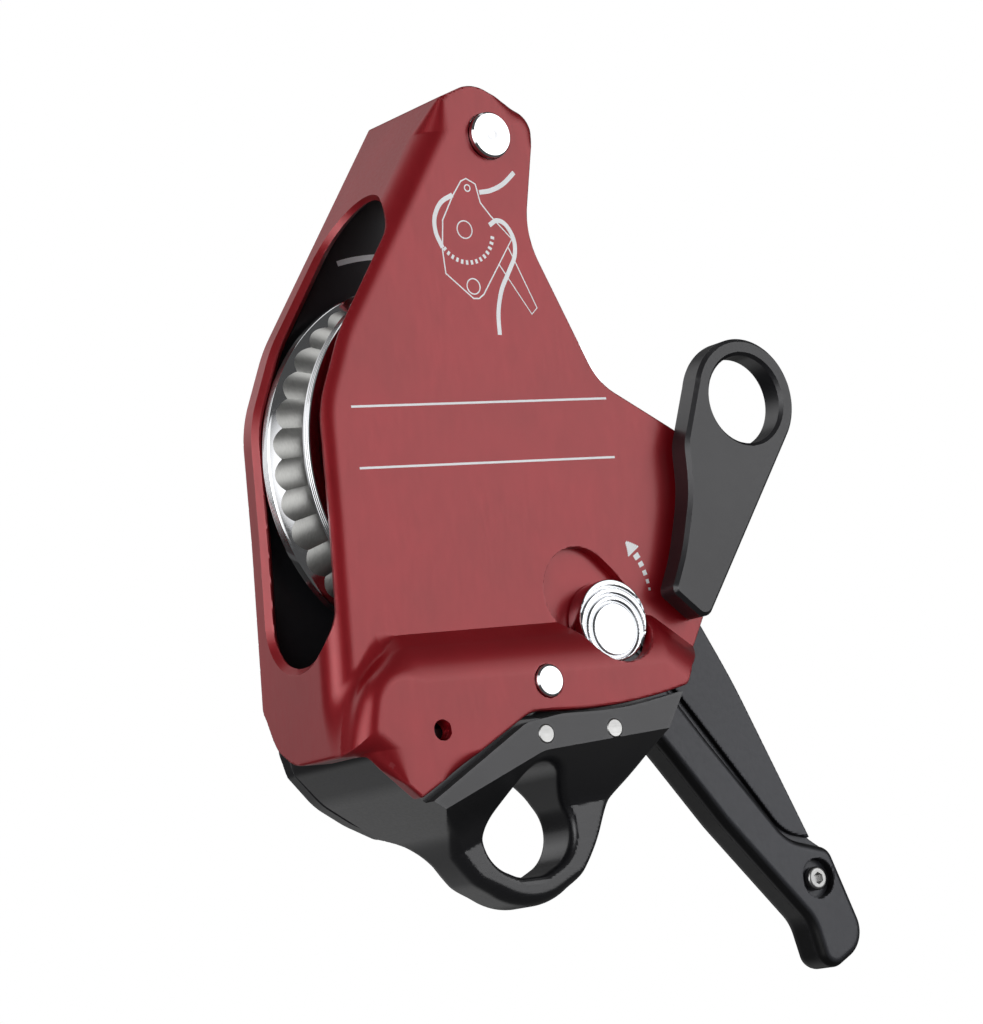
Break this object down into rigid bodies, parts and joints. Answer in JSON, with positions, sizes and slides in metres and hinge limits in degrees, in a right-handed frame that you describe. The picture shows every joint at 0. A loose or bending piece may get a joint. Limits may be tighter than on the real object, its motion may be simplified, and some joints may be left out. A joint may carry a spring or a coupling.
{
  "type": "rope clutch",
  "caption": "Rope clutch: grooved sheave and cam brake between a fixed back plate and a swinging side plate, with anchor eye, becket eye and brake handle.",
  "frame": {"origin": "centre of the anchor eye, halfway through its thickness", "axes": "+Z from the anchor eye up towards the top pin, -Y out of the side plate's face (the front), +X towards the becket and the handle"},
  "size_m": [0.196, 0.063, 0.2465],
  "materials": {
    "red_anodised": "satin red anodised",
    "black_anodised": "satin black anodised",
    "polished_steel": "polished stainless steel",
    "brushed_steel": "brushed stainless steel",
    "bronze": "machined bronze",
    "brake_lining": "moulded friction lining"
  },
  "bodies": {
    "frame": {"back_plate": "black_anodised", "anchor_block": "black_anodised", "becket": "black_anodised", "top_pin": "polished_steel", "top_pin_nut": "brushed_steel", "top_pin_spacer": "polished_steel", "block_dowel_1": "brushed_steel", "block_dowel_2": "brushed_steel", "becket_screw": "brushed_steel", "sheave_axle": "polished_steel", "axle_ring": "brushed_steel", "latch_catch": "polished_steel", "shoe_guide_1": "brushed_steel", "shoe_guide_2": "brushed_steel"},
    "sheave": {"sheave_flange_front": "polished_steel", "sheave_flange_rear": "polished_steel", "sheave_core": "brushed_steel", "sheave_bush": "bronze"},
    "side_plate": {"side_plate": "red_anodised", "latch_pivot_pin": "polished_steel"},
    "latch": {"latch_lever": "brushed_steel", "latch_button": "polished_steel", "latch_spring": "brushed_steel"},
    "handle": {"handle_lever": "black_anodised", "handle_cover": "black_anodised", "handle_screw": "brushed_steel", "handle_washer": "bronze", "handle_bolt": "polished_steel", "release_cam": "polished_steel"},
    "brake": {"brake_shoe": "brake_lining"}
  },
  "joints": [
    {"name": "side_plate_hinge", "type": "hinge", "parent": "frame", "child": "side_plate", "pos_m": [0.0121, -0.015, 0.1846], "axis": [0, 1, 0], "range_deg": [0, 100]},
    {"name": "sheave_spin", "type": "hinge", "parent": "frame", "child": "sheave", "pos_m": [-0.004, 0.0015, 0.0988], "axis": [0, 1, 0], "continuous": true},
    {"name": "latch_swing", "type": "hinge", "parent": "side_plate", "child": "latch", "pos_m": [0.0006, -0.0114, 0.0361], "axis": [0, -1, 0], "range_deg": [0, 21], "stiffness_Nm_per_rad": 0.03, "springref_deg": -34.38},
    {"name": "handle_swing", "type": "hinge", "parent": "frame", "child": "handle", "pos_m": [0.0435, 0.028, 0.0988], "axis": [0, -1, 0], "range_deg": [0, 65]},
    {"name": "brake_shoe_slide", "type": "slide", "parent": "frame", "child": "brake", "axis": [1, 0, 0], "range_m": [0, 0.0017]}
  ],
  "couplings": [
    {"joint": "brake_shoe_slide", "follows": "handle_swing", "m_per_rad": 0.00143}
  ]
}
